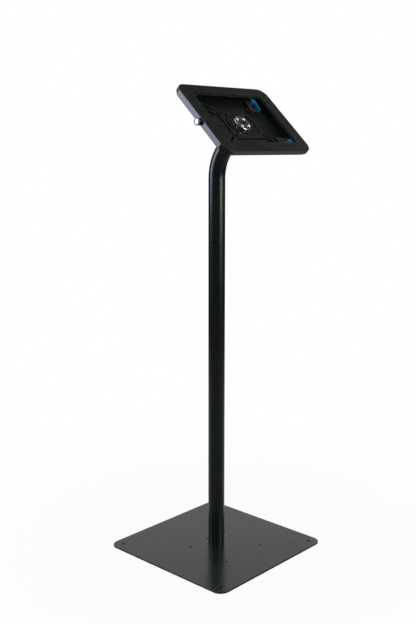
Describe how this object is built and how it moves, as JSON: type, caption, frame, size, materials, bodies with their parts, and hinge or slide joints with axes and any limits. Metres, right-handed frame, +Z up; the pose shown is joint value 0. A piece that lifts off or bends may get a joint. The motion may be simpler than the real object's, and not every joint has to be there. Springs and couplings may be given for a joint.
{
  "type": "tablet security kiosk stand",
  "caption": "Floor stand for a tablet: a square base plate, a round pole bent forward at the top, and a lockable tilted enclosure with sliding corner pads that swivels to portrait.",
  "frame": {"origin": "middle of the base plate's outline on the floor, which is also the pole's axis", "axes": "+Z up; +X the way the window faces; +Y to the user's right when they face the window"},
  "size_m": [0.4, 0.4, 1.1933],
  "materials": {
    "black_powder_coat": "satin black powder coat on steel",
    "liner_coat": "satin black powder coat",
    "black_rubber": "matt black rubber",
    "black_foam": "closed-cell black foam",
    "chrome": "polished chrome",
    "bright_screw": "bright stainless steel",
    "zinc_steel": "zinc-plated steel",
    "black_screw": "black oxide steel",
    "nylon_washer": "natural nylon",
    "black_nylon": "matt black moulded nylon",
    "blue_rubber": "matt teal-blue rubber"
  },
  "bodies": {
    "stand": {"base_plate": "black_powder_coat", "rubber_feet": "black_rubber", "foot_rivets": "black_screw", "pole_tube": "black_powder_coat", "foot_plug": "zinc_steel", "pole_screws": "zinc_steel", "cable_grommet": "black_rubber", "head_flange": "black_powder_coat", "stop_pins": "zinc_steel", "rear_washer": "nylon_washer", "front_washer": "nylon_washer", "swivel_ring": "chrome", "ring_screws": "bright_screw", "cable_bushing": "black_rubber"},
    "head": {"rear_shell": "black_powder_coat", "swivel_plate": "black_powder_coat", "plate_rivets": "black_screw", "rail_rivets": "black_screw", "upper_right_rail": "black_powder_coat", "lower_right_rail": "black_powder_coat", "upper_left_rail": "black_powder_coat", "lower_left_rail": "black_powder_coat", "shell_hinge_leaf": "black_powder_coat", "hinge_pin": "zinc_steel", "shell_hinge_rivets": "black_screw", "lock_housing": "chrome", "lock_clip": "zinc_steel"},
    "lid": {"front_frame": "black_powder_coat", "window_liner": "liner_coat", "window_gasket": "black_foam", "lid_hinge_leaf": "black_powder_coat", "lid_hinge_screws": "black_screw", "lock_strike": "zinc_steel"},
    "lock": {"lock_plug": "chrome", "lock_cam": "zinc_steel", "cam_screw": "zinc_steel"},
    "upper_right_holder": {"upper_right_pad": "blue_rubber", "upper_right_carriage": "black_nylon", "upper_right_clamp_screw": "black_screw", "upper_right_clamp_nut": "zinc_steel"},
    "lower_right_holder": {"lower_right_pad": "blue_rubber", "lower_right_carriage": "black_nylon", "lower_right_clamp_screw": "black_screw", "lower_right_clamp_nut": "zinc_steel"},
    "upper_left_holder": {"upper_left_pad": "blue_rubber", "upper_left_carriage": "black_nylon", "upper_left_clamp_screw": "black_screw", "upper_left_clamp_nut": "zinc_steel"},
    "lower_left_holder": {"lower_left_pad": "blue_rubber", "lower_left_carriage": "black_nylon", "lower_left_clamp_screw": "black_screw", "lower_left_clamp_nut": "zinc_steel"}
  },
  "joints": [
    {"name": "head_swivel", "type": "hinge", "parent": "stand", "child": "head", "pos_m": [0.08178, 0, 1.10157], "axis": [0.6884, 0, 0.7254], "range_deg": [0, 90]},
    {"name": "lid_hinge", "type": "hinge", "parent": "head", "child": "lid", "pos_m": [0.08384, 0.1635, 1.10375], "axis": [-0.7254, 0, 0.6884], "range_deg": [0, 110]},
    {"name": "lock_turn", "type": "hinge", "parent": "head", "child": "lock", "pos_m": [0.09129, -0.15, 1.10434], "axis": [0, -1, 0], "range_deg": [0, 90]},
    {"name": "upper_right_slide", "type": "slide", "parent": "head", "child": "upper_right_holder", "axis": [-0.4064, 0.8283, 0.3857], "range_m": [-0.0204, 0.03474]},
    {"name": "lower_right_slide", "type": "slide", "parent": "head", "child": "lower_right_holder", "axis": [0.4064, 0.8283, -0.3857], "range_m": [-0.03309, 0.02206]},
    {"name": "upper_left_slide", "type": "slide", "parent": "head", "child": "upper_left_holder", "axis": [-0.4064, -0.8283, 0.3857], "range_m": [-0.05515, 0]},
    {"name": "lower_left_slide", "type": "slide", "parent": "head", "child": "lower_left_holder", "axis": [0.4064, -0.8283, -0.3857], "range_m": [-0.05515, 0]}
  ]
}
